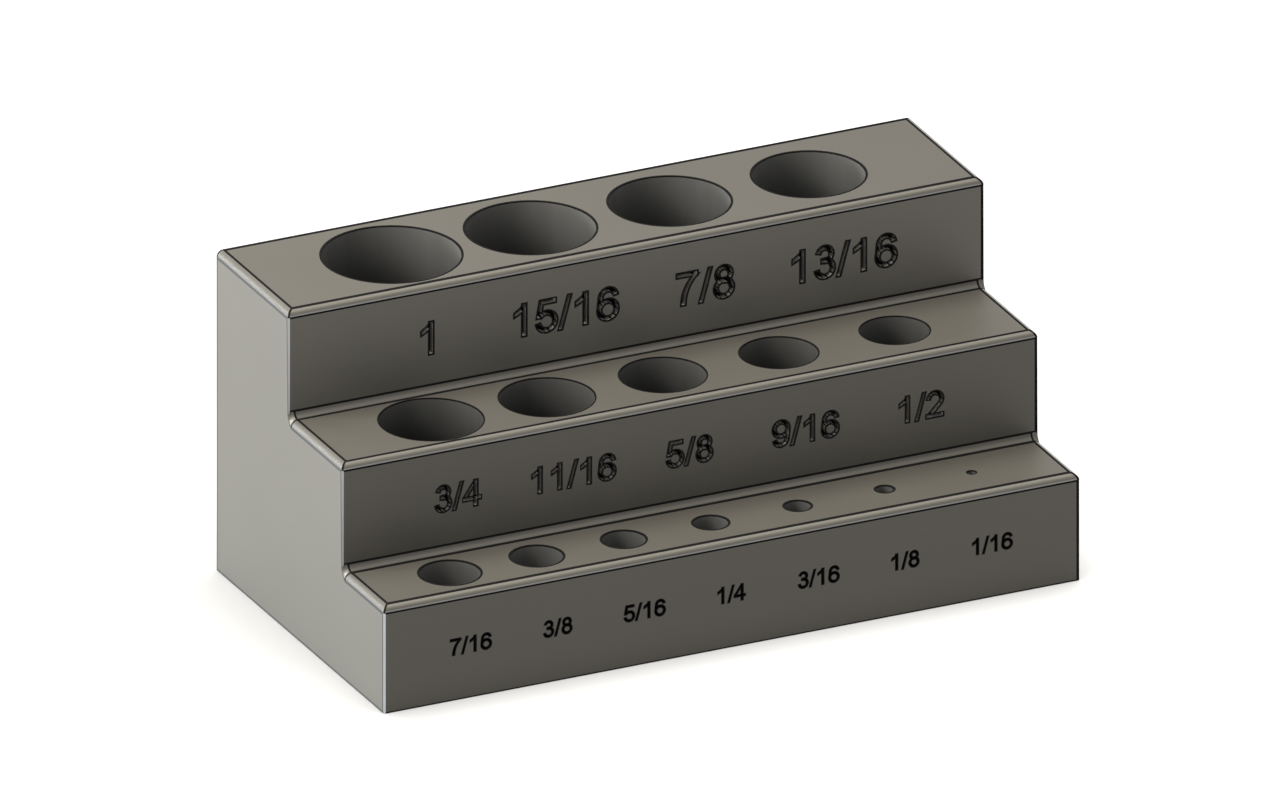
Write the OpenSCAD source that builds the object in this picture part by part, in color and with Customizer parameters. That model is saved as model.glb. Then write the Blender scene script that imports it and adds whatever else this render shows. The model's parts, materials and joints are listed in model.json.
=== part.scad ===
// Drill bit index: one block with three steps and a blind bore for each bit size.
// The sizes fall by one sixteenth of an inch from the top left bore to the bottom right one,
// and each size is cut into the face below its bore.
// The origin is at the middle of the base, +Z is up and the steps face -Y.

/* [Bores] */
// Difference between one bore size and the next, one sixteenth of an inch
size_step = 1.5875; // [1.2:0.0125:2.2]
// Bores on the top step
top_count = 4; // [3:1:6]
// Bores on the middle step
middle_count = 5; // [3:1:7]
// Bores on the bottom step
bottom_count = 7; // [4:1:9]
// Least pitch of the bores of a step, less the diameter of the widest of them
bore_web = 2.54; // [1.5:0.01:12]
// Material left under the point of every bore
floor_t = 6.35; // [2:0.05:12]
// Angle of the drill's point, which the foot of every bore keeps
point_angle = 118; // [90:1:140]

/* [Steps] */
// Height of each step above the one in front
step_rise = 21.1667; // [16:0.0001:40]
// Wall before and behind the widest bore of the top step
top_wall = 2.54; // [2:0.01:8]
// Wall before and behind the widest bore of the middle step
middle_wall = 1.905; // [1.7:0.005:8]
// Wall before and behind the widest bore of the bottom step
bottom_wall = 3.33375; // [2:0.00125:8]
// Radius of the rounded edges and of the inside corners
edge_r = 1.27; // [0.4:0.01:1.6]

/* [Numerals] */
// Height of the numerals on the top step
top_numeral_h = 6.35; // [3:0.05:8]
// Height of the numerals on the middle step
middle_numeral_h = 5.08; // [3:0.02:7]
// Height of the numerals on the bottom step
bottom_numeral_h = 3.175; // [2:0.025:6]
// Wall left between the numerals and the nearest bore
numeral_web = 0.3175; // [0.2:0.0025:1]

/* [Hidden] */
$fn = 96;
// Overrun of every cut past the face that it opens
cut_over = 1;

// Bore sizes to the inch
steps_per_inch = 16;

// The steps, from the bottom one up
counts = [bottom_count, middle_count, top_count];
walls = [bottom_wall, middle_wall, top_wall];
numeral_heights = [bottom_numeral_h, middle_numeral_h, top_numeral_h];
last_step = len(counts) - 1;

// The widest bore of a step, counted in size steps, and its diameter
function widest(i) = i < 0 ? 0 : counts[i] + widest(i - 1);
function bore_d(n) = n * size_step;

// Depth of a tread, front to back, and of all the treads before it
function tread(i) = bore_d(widest(i)) + 2 * walls[i];
function treads_before(i) = i == 0 ? 0 : tread(i - 1) + treads_before(i - 1);

// Height of a tread above the base
function tread_z(i) = (i + 1) * step_rise;

// The bores of a step lie evenly along the block, which is as long as the fullest step needs
length = max([for (i = [0 : last_step]) (counts[i] + 1) * (bore_d(widest(i)) + bore_web)]);
depth = treads_before(last_step + 1);
back_y = depth / 2;
end_x = length / 2;

// A step's front face, and the places of its bores
function face_y(i) = treads_before(i) - back_y;
function bore_y(i) = face_y(i) + tread(i) / 2;
function bore_x(i, k) = (k + 1) * length / (counts[i] + 1) - end_x;

numeral_depth = min(walls) - numeral_web;

// Numerals: places and widths are shares of the numeral's height, from the lower left of its cell.
stroke_share = 0.12;
digit_cell_share = 0.777;
slash_cell_share = 0.388;
// Clear space at the sides of a digit, and at the two sides of a 1
side_share = 0.06;
one_left_share = 0.152;
one_right_share = 0.257;
// Round parts: centres and outer radii
large_bowl_r_share = 0.333;
large_bowl_shares = [0.39, 0.32];
low_ring_r_share = 0.315;
low_ring_shares = [0.39, 0.3];
high_ring_r_share = 0.27;
high_ring_shares = [0.39, 0.74];
two_hook_r_share = 0.32;
two_hook_shares = [0.385, 0.688];
six_hook_r_share = 0.303;
six_hook_shares = [0.4, 0.705];
// Stem of the 1, middle bar of the 3, stem and bar of the 4
one_stem_x_share = 0.4;
three_bar_shares = [0.29, 0.482];
three_bar_w_share = 0.1;
four_stem_x_share = 0.452;
four_bar_shares = [0.018, 0.236];
four_bar_w_share = 0.691;
// Bars at the foot of the 2 and at the heads of the 5 and the 7
two_bar_x_share = 0.042;
two_bar_w_share = 0.661;
five_bar_shares = [0.177, 0.88];
five_bar_w_share = 0.497;
seven_bar_shares = [0.066, 0.88];
seven_bar_w_share = 0.648;
// Leg of the 7, between two circles centred level with its foot
seven_left_r_share = 1.25;
seven_right_r_share = 1.23;
seven_left_x_share = 1.457;
seven_right_x_share = 1.563;
seven_leg_h_share = 0.9;
// Straight strokes that are neither level nor upright
one_flag_shares = [
    [0.152, 0.634], [0.281, 0.697], [0.4, 0.782], [0.52, 0.9],
    [0.52, 1], [0.441, 1], [0.332, 0.87], [0.152, 0.753]
];
two_leg_shares = [[0.527, 0.546], [0.042, 0.06], [0.042, 0], [0.2, 0], [0.284, 0.12], [0.611, 0.462]];
four_leg_shares = [[0.018, 0.236], [0.018, 0.352], [0.474, 1], [0.572, 1], [0.452, 0.803], [0.139, 0.352]];
five_leg_shares = [[0.082, 0.46], [0.2, 0.46], [0.22, 0.59], [0.28, 0.9], [0.28, 1], [0.177, 1]];
six_leg_shares = [[0.057, 0.32], [0.177, 0.32], [0.217, 0.705], [0.097, 0.705]];
slash_shares = [[0, -0.017], [0.099, -0.017], [0.388, 1.017], [0.29, 1.017]];
// A 9 is a 6 turned about this point
nine_turn_shares = [0.389, 0.5];

// Angles at which the open strokes start and end
two_hook_from = -45;
two_hook_to = 172;
three_low_from = -170;
three_low_to = 90;
three_high_from = -90;
three_high_to = 165;
five_bowl_from = -170;
five_bowl_to = 140;
six_hook_from = 12;
six_hook_to = 180;
// Corners that a wedge has along its sweep
wedge_corners = 6;

// The number of a size, in its lowest terms
function common(a, b) = b == 0 ? a : common(b, a % b);
function size_text(n) =
    let (d = common(n, steps_per_inch))
    d == steps_per_inch ? str(n / d) : str(n / d, "/", steps_per_inch / d);

// Widths along a line of characters
function cell(c) = c == "/" ? slash_cell_share : digit_cell_share;
function pen_x(t, k) = k == 0 ? 0 : cell(t[k - 1]) + pen_x(t, k - 1);
function left_gap(c) = c == "1" ? one_left_share : side_share;
function right_gap(c) = c == "1" ? one_right_share : side_share;
function middle_x(t) = (left_gap(t[0]) + pen_x(t, len(t)) - right_gap(t[len(t) - 1])) / 2;

module ring(r) {
    difference() {
        circle(r);
        circle(r - stroke_share);
    }
}

// Sector that keeps the part of a ring of radius r between two angles
module wedge(r, from, to) {
    polygon([
        [0, 0],
        for (k = [0 : wedge_corners])
            let (a = from + k * (to - from) / wedge_corners)
            (r + cut_over) * [cos(a), sin(a)]
    ]);
}

module arc(r, from, to) {
    intersection() {
        ring(r);
        wedge(r, from, to);
    }
}

module bar(w) square([w, stroke_share]);

module digit_1() {
    translate([one_stem_x_share, 0]) square([stroke_share, 1]);
    polygon(one_flag_shares);
}

module digit_2() {
    translate(two_hook_shares) arc(two_hook_r_share, two_hook_from, two_hook_to);
    polygon(two_leg_shares);
    translate([two_bar_x_share, 0]) bar(two_bar_w_share);
}

module digit_3() {
    translate(low_ring_shares) arc(low_ring_r_share, three_low_from, three_low_to);
    translate(high_ring_shares) arc(high_ring_r_share, three_high_from, three_high_to);
    translate(three_bar_shares) bar(three_bar_w_share);
}

module digit_4() {
    translate([four_stem_x_share, 0]) square([stroke_share, 1]);
    translate(four_bar_shares) bar(four_bar_w_share);
    polygon(four_leg_shares);
}

module digit_5() {
    translate(large_bowl_shares) arc(large_bowl_r_share, five_bowl_from, five_bowl_to);
    polygon(five_leg_shares);
    translate(five_bar_shares) bar(five_bar_w_share);
}

module digit_6() {
    translate(large_bowl_shares) ring(large_bowl_r_share);
    translate(six_hook_shares) arc(six_hook_r_share, six_hook_from, six_hook_to);
    polygon(six_leg_shares);
}

module digit_7() {
    translate(seven_bar_shares) bar(seven_bar_w_share);
    intersection() {
        square([1, seven_leg_h_share]);
        difference() {
            translate([seven_left_x_share, 0]) circle(seven_left_r_share);
            translate([seven_right_x_share, 0]) circle(seven_right_r_share);
        }
    }
}

module digit_8() {
    translate(low_ring_shares) ring(low_ring_r_share);
    translate(high_ring_shares) ring(high_ring_r_share);
}

module digit_9() {
    translate(nine_turn_shares) rotate(180) translate(-nine_turn_shares) digit_6();
}

module character(c) {
    if (c == "1") digit_1();
    if (c == "2") digit_2();
    if (c == "3") digit_3();
    if (c == "4") digit_4();
    if (c == "5") digit_5();
    if (c == "6") digit_6();
    if (c == "7") digit_7();
    if (c == "8") digit_8();
    if (c == "9") digit_9();
    if (c == "/") polygon(slash_shares);
}

// A line of characters one unit high, centred on the origin
module characters(t) {
    translate([-middle_x(t), -1 / 2])
        for (k = [0 : len(t) - 1])
            translate([pen_x(t, k), 0]) character(t[k]);
}

// Profile of a step seen from its end, with the top of its front edge rounded
module end_profile(i) {
    z = tread_z(i);
    translate([face_y(i) + edge_r, 0]) square([back_y - face_y(i) - edge_r, z]);
    translate([face_y(i), 0]) square([back_y - face_y(i), z - edge_r]);
    translate([face_y(i) + edge_r, z - edge_r]) circle(edge_r);
}

// Profile of a step seen from the front, with both top corners rounded
module front_profile(i) {
    z = tread_z(i);
    translate([-end_x + edge_r, 0]) square([length - 2 * edge_r, z]);
    translate([-end_x, 0]) square([length, z - edge_r]);
    for (side = [-1, 1])
        translate([side * (end_x - edge_r), z - edge_r]) circle(edge_r);
}

// One step, solid down to the base and back to the rear face
module step_body(i) {
    intersection() {
        rotate([90, 0, 90])
            translate([0, 0, -end_x]) linear_extrude(length) end_profile(i);
        rotate([90, 0, 0])
            translate([0, 0, -back_y]) linear_extrude(depth) front_profile(i);
    }
}

// Section of an inside corner: a square with a round bite, let into the faces behind and below
module corner_section() {
    difference() {
        translate([-edge_r / 2, -edge_r]) square([edge_r * 3 / 2, edge_r * 3 / 2]);
        translate([edge_r, -edge_r]) circle(edge_r);
    }
}

// Inside corner where a step's front face meets the tread before it.
// At each end it turns round the rounded end edge of that tread, as far as the end face.
module inside_corner(i) {
    z = tread_z(i - 1);
    turn_x = end_x - edge_r;
    translate([-turn_x, face_y(i), z])
        rotate([90, 0, 90]) linear_extrude(2 * turn_x) mirror([1, -1]) corner_section();
    for (side = [0, 1])
        mirror([side, 0, 0])
            intersection() {
                translate([turn_x, face_y(i), z - edge_r])
                    rotate([-90, 0, 0]) rotate([0, 0, -90])
                        rotate_extrude(angle = 90) translate([edge_r, 0]) corner_section();
                translate([turn_x, face_y(i) - edge_r, z - edge_r])
                    cube([edge_r, 2 * edge_r, 3 * edge_r]);
            }
}

// A drilled bore: a straight wall, with a cone under it where the drill's point ended
module bore(r, mouth_z) {
    wall_z = floor_t + r / tan(point_angle / 2);
    rotate_extrude()
        polygon([[0, floor_t], [r, wall_z], [r, mouth_z + cut_over], [0, mouth_z + cut_over]]);
}

module bores(i) {
    for (k = [0 : counts[i] - 1])
        translate([bore_x(i, k), bore_y(i), 0]) bore(bore_d(widest(i) - k) / 2, tread_z(i));
}

module numerals(i) {
    for (k = [0 : counts[i] - 1])
        translate([bore_x(i, k), face_y(i) + numeral_depth, tread_z(i) - step_rise / 2])
            rotate([90, 0, 0])
                linear_extrude(numeral_depth + cut_over)
                    scale(numeral_heights[i]) characters(size_text(widest(i) - k));
}

module index_block() {
    color("#827D72")
        difference() {
            union() {
                for (i = [0 : last_step]) step_body(i);
                for (i = [1 : last_step]) inside_corner(i);
            }
            for (i = [0 : last_step]) {
                bores(i);
                numerals(i);
            }
        }
}

index_block();
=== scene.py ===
# Drill bit index: a stepped steel block with a row of bores on each step.
# The size of each bit is engraved in front of its bore.
import json
import math
import bmesh
import bpy
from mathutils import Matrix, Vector


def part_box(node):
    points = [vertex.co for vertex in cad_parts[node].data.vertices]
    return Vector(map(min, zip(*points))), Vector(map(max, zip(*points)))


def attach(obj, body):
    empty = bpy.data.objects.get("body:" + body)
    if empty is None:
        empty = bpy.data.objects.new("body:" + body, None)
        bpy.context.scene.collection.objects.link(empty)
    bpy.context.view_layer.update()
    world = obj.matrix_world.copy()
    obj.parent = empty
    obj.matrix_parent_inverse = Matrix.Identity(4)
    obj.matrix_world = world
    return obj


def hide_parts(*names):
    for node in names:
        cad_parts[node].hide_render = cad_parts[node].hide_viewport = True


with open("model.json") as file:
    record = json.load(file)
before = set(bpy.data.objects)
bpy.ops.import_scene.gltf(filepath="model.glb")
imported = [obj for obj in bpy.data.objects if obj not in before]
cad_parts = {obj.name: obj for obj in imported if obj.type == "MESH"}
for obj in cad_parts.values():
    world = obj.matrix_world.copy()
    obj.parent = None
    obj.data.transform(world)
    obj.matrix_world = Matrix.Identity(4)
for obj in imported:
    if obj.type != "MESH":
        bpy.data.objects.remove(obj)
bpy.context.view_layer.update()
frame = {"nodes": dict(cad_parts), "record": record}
blockLow, blockHigh = (Vector(corner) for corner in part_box("index_block"))
print("frame loaded:", ", ".join(frame["nodes"]))


# The photo is a parallel view of the block from the left and a little above.
cameraSetup = {
    "azimuth": -25.311,  # degrees, 0 looks along +Y
    "elevation": 24.015,  # degrees above the floor
    "pixelsPerMetre": 5507.0,
    "photoSize": (1271, 798),
    "nearCornerPixel": (383.95, 713.95),  # the low front left corner of the block in the photo
    "distance": 1.0,
}


def addCamera(setup):
    azimuth = math.radians(setup["azimuth"])
    elevation = math.radians(setup["elevation"])
    data = bpy.data.cameras.new("photoCamera")
    data.type = "ORTHO"
    data.ortho_scale = setup["photoSize"][0] / setup["pixelsPerMetre"]
    camera = bpy.data.objects.new("photoCamera", data)
    camera.rotation_euler = (math.pi / 2 - elevation, 0, azimuth)
    turn = camera.rotation_euler.to_matrix()
    halfWidth, halfHeight = (pixels / 2 for pixels in setup["photoSize"])
    cornerX, cornerY = setup["nearCornerPixel"]
    acrossView = Vector((halfWidth - cornerX, cornerY - halfHeight, 0)) / setup["pixelsPerMetre"]
    camera.location = blockLow + turn @ (acrossView + Vector((0, 0, setup["distance"])))
    bpy.context.scene.collection.objects.link(camera)
    bpy.context.scene.camera = camera


addCamera(cameraSetup)
print("camera placed")


class Wire:
    # One output of a shader node. Sums on it are written as plain Python.
    def __init__(self, tree, socket=None):
        self.tree = tree
        self.socket = socket

    def add(self, kind, settings=None, output=0, **values):
        # a node's inputs go by name, or by number as in _0
        node = self.tree.nodes.new("ShaderNode" + kind)
        for name, value in (settings or {}).items():
            setattr(node, name, value)
        for name, value in values.items():
            place = int(name[1:]) if name[0] == "_" else name.replace("_", " ")
            if isinstance(value, Wire):
                self.tree.links.new(value.socket, node.inputs[place])
            else:
                node.inputs[place].default_value = value
        return Wire(self.tree, node.outputs[output])

    def maths(self, operation, first, second):
        return self.add("Math", {"operation": operation}, _0=first, _1=second)

    def __add__(self, other):
        return self.maths("ADD", self, other)

    def __radd__(self, other):
        return self.maths("ADD", other, self)

    def __sub__(self, other):
        return self.maths("SUBTRACT", self, other)

    def __rsub__(self, other):
        return self.maths("SUBTRACT", other, self)

    def __mul__(self, other):
        return self.maths("MULTIPLY", self, other)

    def __rmul__(self, other):
        return self.maths("MULTIPLY", other, self)


# Finishes. Grain is the length of the marks that the cutter left, in metres along X, Y and Z.
satin = {"spread": 0.10, "roughness": 0.48, "metallic": 0.5, "specular": 0.5,
         "grain": (0.012, 0.0003, 0.0003), "bump": 0.06}
engraved = {"spread": 0.12, "roughness": 0.5, "metallic": 0.3, "specular": 0.5,
            "grain": (0.0006, 0.0006, 0.0002), "bump": 0.05}
# painted highlights on edges, for the two finishes that use this
highlightLook = {"spread": 0.15, "roughness": 0.45, "metallic": 0.3, "specular": 0.4,
          "grain": (0.002, 0.002, 0.003), "bump": 0.03}
finishes = {
    "satinSteel": {**satin, "colour": (0.0755, 0.0698, 0.058)},  # what is given no other finish
    # painted shade on the risers: darker on the lower two, about the tread's tone on the top one
    "frontShadeSteel": {**satin, "colour": (0.058, 0.0535, 0.0448)},
    "topFrontShadeSteel": {**satin, "colour": (0.0765, 0.071, 0.0605)},
    "shadedBoreSteel": {"colour": (0.055, 0.0545, 0.0515), "spread": 0.22, "roughness": 0.48, "metallic": 0.4,
                  "specular": 0.5, "grain": (0.0035, 0.0035, 0.2), "bump": 0.05,
                  "mouthShade": 1.52, "depthShade": 105.0, "leastShade": 0.33},  # painted shade, lighter at the mouth and darker further down
    # painted light on the engraved walls, much lighter than the steel round them
    "litNumeralSteel": {**engraved, "colour": (0.265, 0.25, 0.225)},
    # painted shade on bands of the rounded edges and the hollow ones; also rougher and less shiny
    "shadedDullSteel": {"colour": (0.056, 0.052, 0.045), "spread": 0.10, "roughness": 0.55, "metallic": 0.3,
                  "specular": 0.3, "grain": (0.012, 0.0003, 0.0003), "bump": 0.04},
    # painted highlight on the engraved walls that look up
    "ledgeHighlightSteel": {**engraved, "colour": (0.40, 0.38, 0.34)},
    # painted highlight on the left front chamfers and on the right rounded edges
    "paintedHighlight": {**highlightLook, "colour": (0.155, 0.153, 0.149)},
    # painted sheen along the lower side of the front rounded edges
    "paintedSheen": {**highlightLook, "colour": (0.13, 0.13, 0.128)},
    "darkLine": {"colour": (0.004, 0.004, 0.004), "spread": 0.4, "roughness": 0.85, "metallic": 0.0,
                 "specular": 0.05, "grain": (0.003, 0.003, 0.003), "bump": 0.02},
    "greyLine": {"colour": (0.022, 0.022, 0.022), "spread": 0.3, "roughness": 0.7, "metallic": 0.0,
                 "specular": 0.2, "grain": (0.003, 0.003, 0.003), "bump": 0.02},
}
# What all of them share: fine grain and slow clouds of tone.
texture = {
    "grainDetail": 4.0,
    "grainRoughness": 0.6,
    "cloudScale": 45.0,  # per metre
    "cloudDetail": 3.0,
    "cloudRoughness": 0.55,
    "roughnessSwing": 0.06,  # to both sides of a finish's own roughness
    "bumpHeight": 0.0001,
}


def makeFinish(name, look):
    material = bpy.data.materials.new(name)
    material.use_nodes = True
    tree = material.node_tree
    shader = tree.nodes["Principled BSDF"]
    wire = Wire(tree)
    place = wire.add("TexCoord", output=3)  # Object coordinates
    stretched = wire.add("VectorMath", {"operation": "DIVIDE"}, _0=place, _1=look["grain"])
    grain = wire.add("TexNoise", Vector=stretched, Scale=1.0, Detail=texture["grainDetail"],
                     Roughness=texture["grainRoughness"])
    cloud = wire.add("TexNoise", Vector=place, Scale=texture["cloudScale"], Detail=texture["cloudDetail"],
                     Roughness=texture["cloudRoughness"])
    tone = grain * 0.5 + cloud * 0.5  # 0 to 1, mostly near a half
    low = [c * (1 - look["spread"]) for c in look["colour"]]
    high = [c * (1 + look["spread"]) for c in look["colour"]]
    colour = wire.add("Mix", {"data_type": "RGBA"}, output=2, _0=tone, _6=(*low, 1), _7=(*high, 1))
    if "depthShade" in look:
        depth = wire.add("Attribute", {"attribute_name": "depth"}, output=2)  # metres, as a number
        # painted shade: lighter at a bore's mouth and darker further down
        shade = wire.maths("MAXIMUM", look["mouthShade"] - depth * look["depthShade"], look["leastShade"])
        colour = wire.add("VectorMath", {"operation": "SCALE"}, _0=colour, Scale=shade)
    swing = texture["roughnessSwing"]
    rough = look["roughness"] - swing + tone * (2 * swing)
    bump = wire.add("Bump", Height=grain, Strength=look["bump"], Distance=texture["bumpHeight"])
    for socket, source in (("Base Color", colour), ("Roughness", rough), ("Normal", bump)):
        tree.links.new(source.socket, shader.inputs[socket])
    shader.inputs["Metallic"].default_value = look["metallic"]
    shader.inputs["Specular IOR Level"].default_value = look["specular"]
    return material


materials = {name: makeFinish(name, look) for name, look in finishes.items()}
print("finishes made:", ", ".join(materials))


# The block. Lengths are in metres, and a list goes from the bottom step up.
steppedBlock = {
    "node": "index_block",
    "flatWithin": 0.2,  # degrees between faces of the CAD mesh that become one
    "edgeRadius": 0.00127,
    "cornerBreak": 0.00035,  # chamfer on the upright corners at the left front
    "crispBreak": 0.0001,  # and on the other ones
    "treadLines": (0.0005, 0.0003, 0.0005),  # width of the dark lines along a tread
    "treadEndLine": 0.00035,
    "treadBackLine": 0.0009,
    "riserLine": 0.00025,
    "riserEndLine": 0.0005,  # at the right end of a riser
    "endLine": 0.0004,  # round the end faces and the back
    "rimLines": (0.00045, 0.0003, 0.00045),  # round the mouth of a bore
    "rimDepth": 0.0002,  # how far the dark line of a rim goes down its wall
    "boreGloom": (0, 0.003, -0.0015),  # shades the bores of a step as if so much deeper
    "mitreLine": 0.0004,
    "rightMitre": 1.7,  # so much wider on the right front corners
    "backMitre": 2,  # and at the top back
    "outerFrom": 0.75,  # dark where a hollow corner looks to the right by more than this
    # painted shade for the riser of each step
    "frontShades": ("frontShadeSteel", "frontShadeSteel", "topFrontShadeSteel"),
    "numeralLines": (0.00016, 0.00028, 0.00031),
    "numeralDepth": 0.0015875,
    # dark walls on the top step, walls with painted light on the others
    "numeralWalls": ("darkLine", "litNumeralSteel", "litNumeralSteel"),
    "numeralMouth": 0.00022,  # dark strip at the top of the numerals' walls
    "numeralFoot": 0.0002,  # and at their foot
    "ledgeFrom": 0.6,  # a wall that looks up by more than this is a ledge in the light
    "hatchEvery": 30,  # degrees that a curved stroke turns from one hatch line to the next
    "hatchTurn": 8.5,  # degrees that the line itself takes up
    "hatchWidest": 0.0005,  # a wider wall is a straight stroke and has no hatch
    "sharpFrom": 28,  # degrees between two faces
    # a rounded edge's finish, up to so many degrees away from the tread: dark lines, and bands of painted
    # shade and painted highlight that follow how the light falls
    "frontRound": ((14, "darkLine"), (70, "satinSteel"), (84, "paintedSheen"), (90, "darkLine")),
    "coveRound": ((14, "darkLine"), (84, "shadedDullSteel"), (90, "darkLine")),
    "leftRound": ((8, "darkLine"), (22, "satinSteel"), (84, "shadedDullSteel"), (90, "greyLine")),
    "rightRound": ((8, "darkLine"), (90, "paintedHighlight")),
}
hair = 1e-6  # metres; places that are closer count as one
squareOn = 0.9999  # a normal with so much of an axis in it looks along the axis
squareOff = 0.01  # and one with less than this in it is square to the axis


def mergedCopy(plan):
    shape = bmesh.new()
    shape.from_mesh(frame["nodes"][plan["node"]].data)
    bmesh.ops.remove_doubles(shape, verts=shape.verts, dist=hair / 10)
    bmesh.ops.dissolve_limit(shape, angle_limit=math.radians(plan["flatWithin"]), verts=shape.verts,
                             edges=shape.edges)
    shape.normal_update()
    return shape


def flatPlaces(shape, axis, sign, leastArea=0.0005):
    # where the large flat faces that look along an axis lie; areas are in square metres
    areas = {}
    for f in shape.faces:
        if f.normal[axis] * sign > squareOn:
            place = round(f.calc_center_median()[axis], 6)
            areas[place] = areas.get(place, 0) + f.calc_area()
    return sorted(place for place, area in areas.items() if area > leastArea)


def facing(shape, axis, sign, place):
    # the flat faces that look along an axis and lie at a place on it
    return [f for f in shape.faces if f.normal[axis] * sign > squareOn
            and abs(f.calc_center_median()[axis] - place) < 2 * hair]


def within(shape, low, high, test=lambda f: True):
    # the faces whose middle lies in a box and that pass a test
    return [f for f in shape.faces if test(f) and all(
        low[k] <= place <= high[k] for k, place in enumerate(f.calc_center_median()))]


def rounded(shape, low, high):
    # the faces in a box that lie along no axis
    return within(shape, low, high, lambda f: max(abs(c) for c in f.normal) < squareOn)


def runsAlong(f, axis):
    # whether it is a facet of an edge that runs along an axis
    return abs(f.normal[axis]) < squareOff


def cut(shape, faces, point, normal):
    # a straight cut across some faces
    edges = {e for f in faces for e in f.edges}
    verts = {v for f in faces for v in f.verts}
    bmesh.ops.bisect_plane(shape, geom=[*verts, *edges, *faces], dist=2 * hair, plane_co=point,
                           plane_no=normal)


def give(faces, finish):
    for f in faces:
        f.material_index = list(finishes).index(finish)


def bare(faces):
    # the ones that still have the first finish
    return [f for f in faces if f.material_index == 0]


def breakCorners(shape, plan):
    # a chamfer on the upright corners, wider and with a painted highlight on the left front ones
    upright = [e for e in shape.edges if e.calc_length() > 3 * plan["edgeRadius"]
               and all(abs(abs(v.co.x) - blockHigh.x) < hair for v in e.verts)
               and (e.verts[0].co - e.verts[1].co).xy.length < hair]
    highlit = [e for e in upright if e.verts[0].co.x < 0 and e.verts[0].co.y < blockHigh.y - hair]
    crisp = [e for e in upright if e not in highlit]
    for edges, width, finish in ((highlit, plan["cornerBreak"], "paintedHighlight"),
                                 (crisp, plan["crispBreak"], "darkLine")):
        made = bmesh.ops.bevel(shape, geom=edges, offset=width, offset_type="OFFSET", affect="EDGES",
                               segments=1, profile=0.5, material=-1)["faces"]
        give(made, finish)
    bmesh.ops.dissolve_degenerate(shape, edges=shape.edges, dist=3 * hair)
    shape.normal_update()


def finishBore(shape, plan, mount, line, gloom):
    # a wall with painted shade, darker further down, and a dark line on both sides of its rim, a thinner one
    # round the smallest bore
    middle = Vector(mount["pos_m"])
    reach = mount["dims"]["r_mm"] / 1000 + 10 * hair
    mouth = middle.z + mount["dims"]["length_mm"] / 1000
    low = (middle.x - reach, middle.y - reach, blockLow.z + hair)
    high = (middle.x + reach, middle.y + reach, mouth - hair)
    cut(shape, within(shape, low, high), (0, 0, mouth - plan["rimDepth"]), (0, 0, 1))
    inside = within(shape, low, high)
    # painted shade on the bore's wall
    give(inside, "shadedBoreSteel")
    for v in {v for f in inside for v in f.verts}:
        v[shape.verts.layers.float["depth"]] = max(mouth - v.co.z, 0) + gloom
    give([f for f in inside if f.calc_center_median().z > mouth - plan["rimDepth"]], "darkLine")
    ring = bmesh.ops.inset_region(shape, faces=inside, thickness=min(line, reach / 3), use_outset=True,
                                  use_even_offset=True)
    give(ring["faces"], "darkLine")


def finishNumerals(shape, plan, front, line, walls, low, high):
    # engraved sizes: dark floor, hatched walls with painted light on them, a painted highlight on the walls
    # that look up, and a dark line round them
    side = blockHigh.x - 2 * plan["edgeRadius"]
    mouth, foot, depth = plan["numeralMouth"], plan["numeralFoot"], plan["numeralDepth"]
    nearest, furthest = (-side, front + hair, low), (side, front + depth + 10 * hair, high)
    pocket = within(shape, nearest, furthest)
    # the walls' finish: painted light on all but the top step's
    give(pocket, walls)
    cut(shape, [f for f in pocket if f.normal.y > -squareOn], (0, front + mouth, 0), (0, 1, 0))
    cut(shape, within(shape, (-side, front + mouth, low), furthest), (0, front + depth - foot, 0), (0, 1, 0))
    pocket = within(shape, nearest, furthest)
    for f in pocket:
        down = f.calc_center_median().y - front
        width = max((v.co - f.verts[0].co).xz.length for v in f.verts)
        turn = math.degrees(math.atan2(f.normal.z, f.normal.x)) + plan["hatchEvery"] / 2
        hatched = turn % plan["hatchEvery"] < plan["hatchTurn"] and width < plan["hatchWidest"]
        if hatched or down < mouth or down > depth - foot:
            give([f], "darkLine")
        # a wall that looks up gets a painted highlight
        elif f.normal.z > plan["ledgeFrom"] and walls == "litNumeralSteel":
            give([f], "ledgeHighlightSteel")
    ring = bmesh.ops.inset_region(shape, faces=pocket, thickness=line, use_outset=True, use_even_offset=True)
    give(ring["faces"], "darkLine")


def refill(shape, axis, sign, place):
    # makes the bare part of a flat face anew, between the lines that are on it
    old = bare(facing(shape, axis, sign, place))
    normal = old[0].normal.copy()
    bmesh.ops.delete(shape, geom=old, context="FACES")
    rims = [e for e in shape.edges if e.is_boundary]
    bmesh.ops.triangle_fill(shape, use_beauty=True, edges=rims, normal=normal)
    shape.normal_update()


def lineFlat(shape, axis, sign, place, sides):
    # dark strips along the sides of a flat face; a side is its axis, where it is, and the strip's width
    for across, edge, width in sides:
        normal = Vector((0, 0, 0))
        normal[across] = 1
        cut(shape, facing(shape, axis, sign, place), normal * (edge + width), normal)
    for f in facing(shape, axis, sign, place):
        middle = f.calc_center_median()
        if any(abs(middle[across] - edge) < abs(width) for across, edge, width in sides):
            give([f], "darkLine")


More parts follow.
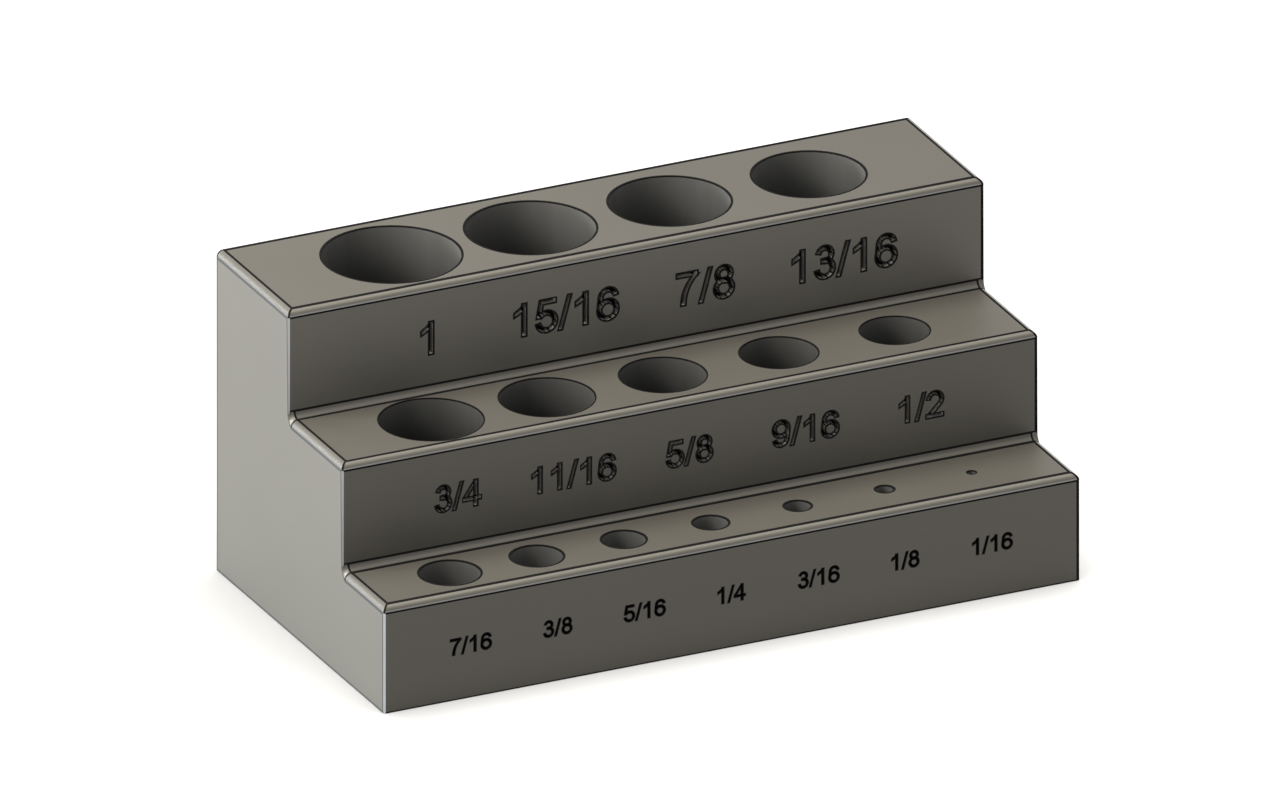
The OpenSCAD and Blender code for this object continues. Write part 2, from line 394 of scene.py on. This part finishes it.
def finishStep(shape, plan, i, treads, fronts):
    # the numerals, the riser and the tread of one step
    tread, front = treads[i], fronts[i]
    radius, endX = plan["edgeRadius"], blockHigh.x
    foot = treads[i - 1] + radius if i else 0
    finishNumerals(shape, plan, front, plan["numeralLines"][i], plan["numeralWalls"][i], foot, tread - radius)
    refill(shape, 1, -1, front)
    refill(shape, 2, 1, tread)
    # painted shade on the bare part of the riser
    give(bare(facing(shape, 1, -1, front)), plan["frontShades"][i])
    line = plan["riserLine"]
    lineFlat(shape, 1, -1, front, [(2, foot, line), (2, tread - radius, -line),
                                   (0, endX - plan["crispBreak"], -plan["riserEndLine"])])
    line, ends = plan["treadLines"][i], plan["treadEndLine"]
    behind = (1, blockHigh.y, -plan["treadBackLine"])
    if tread < treads[-1]:
        behind = (1, fronts[i + 1] - radius, -line)
    lineFlat(shape, 2, 1, tread, [(0, radius - endX, ends), (0, endX - radius, -ends),
                                  (1, front + radius, line), behind])


def finishRound(faces, bands, slack=0.5):
    # each facet of a rounded edge gets its finish by how far it has turned from the tread, in degrees, so
    # that its painted shade and highlight follow how the light falls
    for f in faces:
        turn = math.degrees(math.acos(min(f.normal.z, 1)))
        give([f], next(finish for upTo, finish in bands if turn < upTo + slack))


def mitre(shape, low, high, point, normal, width):
    # a dark strip across the rounded edges that meet at a corner; the cuts go right along the tread
    normal = Vector(normal).normalized()
    point = Vector(point)
    alongLow, alongHigh = (blockLow.x, blockLow.y, low[2]), (blockHigh.x, blockHigh.y, high[2])
    for side in (-1, 1):
        cut(shape, rounded(shape, alongLow, alongHigh), point + normal * width * side / 2, normal)
    give([f for f in rounded(shape, low, high)
          if abs((f.calc_center_median() - point).dot(normal)) < width / 2], "darkLine")


def finishCorner(shape, plan, side, tread, front, below, atBack):
    # dark lines where rounded edges meet, at one end of a step
    radius, line = plan["edgeRadius"], plan["mitreLine"]
    end, inner, deeper = (side * (blockHigh.x - inset) for inset in (0, radius, 2 * radius))
    low, high = sorted((end, inner))
    mitre(shape, (low, front, tread - radius), (high, front + radius, tread), (end, front, 0), (side, 1, 0),
          line * (plan["rightMitre"] if side > 0 else 1))
    if below is not None:
        first, last = sorted((end, deeper))
        mitre(shape, (first, front - radius, below), (last, front, below + radius),
              (inner, 0, 0), (1, 0, 0), line)
        mitre(shape, (low, front - 2 * radius, below - radius), (high, front, below + radius),
              (0, front - radius, 0), (0, 1, 0), line)
    if atBack:
        back = blockHigh.y
        mitre(shape, (low, back - radius, tread - radius), (high, back, tread), (0, back, 0), (0, 1, 0),
              line * plan["backMitre"])


def finishEdges(shape, plan, i, treads, fronts):
    # the rounded edges of one step
    tread, front = treads[i], fronts[i]
    below = treads[i - 1] if i else None
    atBack = tread == treads[-1]
    back = blockHigh.y if atBack else fronts[i + 1]
    radius, endX = plan["edgeRadius"], blockHigh.x
    edges = rounded(shape, (-endX, front - hair, tread - radius), (endX, back, tread))
    finishRound([f for f in edges if runsAlong(f, 0) and f.normal.y < 0], plan["frontRound"])
    for side, bands in ((-1, plan["leftRound"]), (1, plan["rightRound"])):
        finishRound([f for f in edges if runsAlong(f, 1) and f.normal.x * side > 0], bands)
    if below is not None:
        coves = rounded(shape, (-endX, front - radius, below), (endX, front, below + radius))
        finishRound([f for f in coves if runsAlong(f, 0)], plan["coveRound"])
    for side in (-1, 1):
        finishCorner(shape, plan, side, tread, front, below, atBack)
    if below is not None:
        outer = rounded(shape, (endX - radius, front - radius, below - radius), (endX, front, below + radius))
        give([f for f in outer if f.normal.x > plan["outerFrom"]], "darkLine")


def buildBlock(plan):
    shape = mergedCopy(plan)
    shape.verts.layers.float.new("depth")  # how far down a bore, plus the step's gloom, for its painted shade
    treads = flatPlaces(shape, 2, 1)
    fronts = flatPlaces(shape, 1, -1)
    breakCorners(shape, plan)

    for mount in frame["record"]["mounts"]:
        if mount["kind"] == "bore":
            mouth = mount["pos_m"][2] + mount["dims"]["length_mm"] / 1000
            step = min(range(len(treads)), key=lambda i: abs(treads[i] - mouth))
            finishBore(shape, plan, mount, plan["rimLines"][step], plan["boreGloom"][step])
    print("bores finished")

    for i in range(len(treads)):
        finishStep(shape, plan, i, treads, fronts)
    for axis, sign, place in ((0, -1, blockLow.x), (0, 1, blockHigh.x), (1, 1, blockHigh.y)):
        ring = bmesh.ops.inset_region(shape, faces=facing(shape, axis, sign, place), use_boundary=True,
                                      thickness=plan["endLine"], use_even_offset=True)
        give(ring["faces"], "greyLine")
    print("numerals and flat faces lined")

    for i in range(len(treads)):
        finishEdges(shape, plan, i, treads, fronts)
    shape.normal_update()
    for f in shape.faces:
        f.smooth = True
    for e in shape.edges:
        e.smooth = e.calc_face_angle(0) < math.radians(plan["sharpFrom"])
    mesh = bpy.data.meshes.new("steppedBlock")
    shape.to_mesh(mesh)
    shape.free()
    for name in finishes:
        mesh.materials.append(materials[name])
    piece = bpy.data.objects.new("steppedBlock", mesh)
    bpy.context.scene.collection.objects.link(piece)
    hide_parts(plan["node"])
    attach(piece, "root")
    print("block built:", len(mesh.vertices), "vertices,", len(mesh.polygons), "faces")
    return piece


block = buildBlock(steppedBlock)


# The floor and the light. Lengths are in metres.
studio = {
    "floorSize": 6.0,
    "floorDrop": 0.00005,  # keeps the floor just clear of the block's underside
    "floorColour": (0.59, 0.59, 0.595),
    "floorRoughness": 0.9,
    "floorSpecular": 0.2,
    "worldLight": 0.82,
    "overhead": {"strength": 4.42, "spread": 55, "colour": (1.0, 0.98, 0.925)},  # soft, from straight above
    "softboxes": {
        "left": {"place": (-1.5, 0.1, 0.0105), "size": (1.2, 0.018), "aim": (0, 0.1, 0.0105),
                 "watts": 55.0, "colour": (0.745, 0.87, 1.0)},  # lower than the treads, for the end alone
        "backLeft": {"place": (-0.9, 1.3, 0.25), "size": (0.5, 0.4), "aim": (0, 0, 0.03),
                     "watts": 22.0, "colour": (0.97, 0.99, 1.0)},
        "nearLeft": {"place": (-0.43, 0.03, 0.42), "size": (0.3, 0.3), "aim": (0, 0, 0.03),
                     "watts": 8.2, "colour": (1.0, 0.98, 0.925)},
    },
}


def addFloor(setup):
    shape = bmesh.new()
    bmesh.ops.create_grid(shape, x_segments=1, y_segments=1, size=setup["floorSize"] / 2)
    bmesh.ops.translate(shape, verts=shape.verts, vec=(0, 0, -setup["floorDrop"]))
    mesh = bpy.data.meshes.new("paleFloor")
    shape.to_mesh(mesh)
    shape.free()
    paint = bpy.data.materials.new("palePaint")
    paint.use_nodes = True
    shader = paint.node_tree.nodes["Principled BSDF"]
    shader.inputs["Base Color"].default_value = (*setup["floorColour"], 1)
    shader.inputs["Roughness"].default_value = setup["floorRoughness"]
    shader.inputs["Specular IOR Level"].default_value = setup["floorSpecular"]
    mesh.materials.append(paint)
    floor = bpy.data.objects.new("paleFloor", mesh)
    bpy.context.scene.collection.objects.link(floor)


def addLight(setup, piece):
    world = bpy.data.worlds.new("studioWorld")
    world.use_nodes = True
    background = world.node_tree.nodes["Background"]
    background.inputs["Color"].default_value = (1, 1, 1, 1)
    background.inputs["Strength"].default_value = setup["worldLight"]
    bpy.context.scene.world = world

    overhead = setup["overhead"]
    data = bpy.data.lights.new("overhead", "SUN")
    data.energy = overhead["strength"]
    data.angle = math.radians(overhead["spread"])
    data.color = overhead["colour"]
    bpy.context.scene.collection.objects.link(bpy.data.objects.new("overhead", data))

    lit = bpy.data.collections.new("softboxLit")  # the softboxes throw no shadow on the floor
    lit.objects.link(piece)
    for name, box in setup["softboxes"].items():
        data = bpy.data.lights.new(name, "AREA")
        data.shape = "RECTANGLE"
        data.size, data.size_y = box["size"]
        data.energy = box["watts"]
        data.color = box["colour"]
        light = bpy.data.objects.new(name, data)
        light.location = box["place"]
        aim = Vector(box["aim"]) - Vector(box["place"])
        light.rotation_euler = aim.to_track_quat("-Z", "Y").to_euler()
        light.visible_camera = False
        light.light_linking.receiver_collection = lit
        bpy.context.scene.collection.objects.link(light)
    bpy.context.scene.view_settings.view_transform = "Standard"


addFloor(studio)
addLight(studio, block)
print("studio lit")
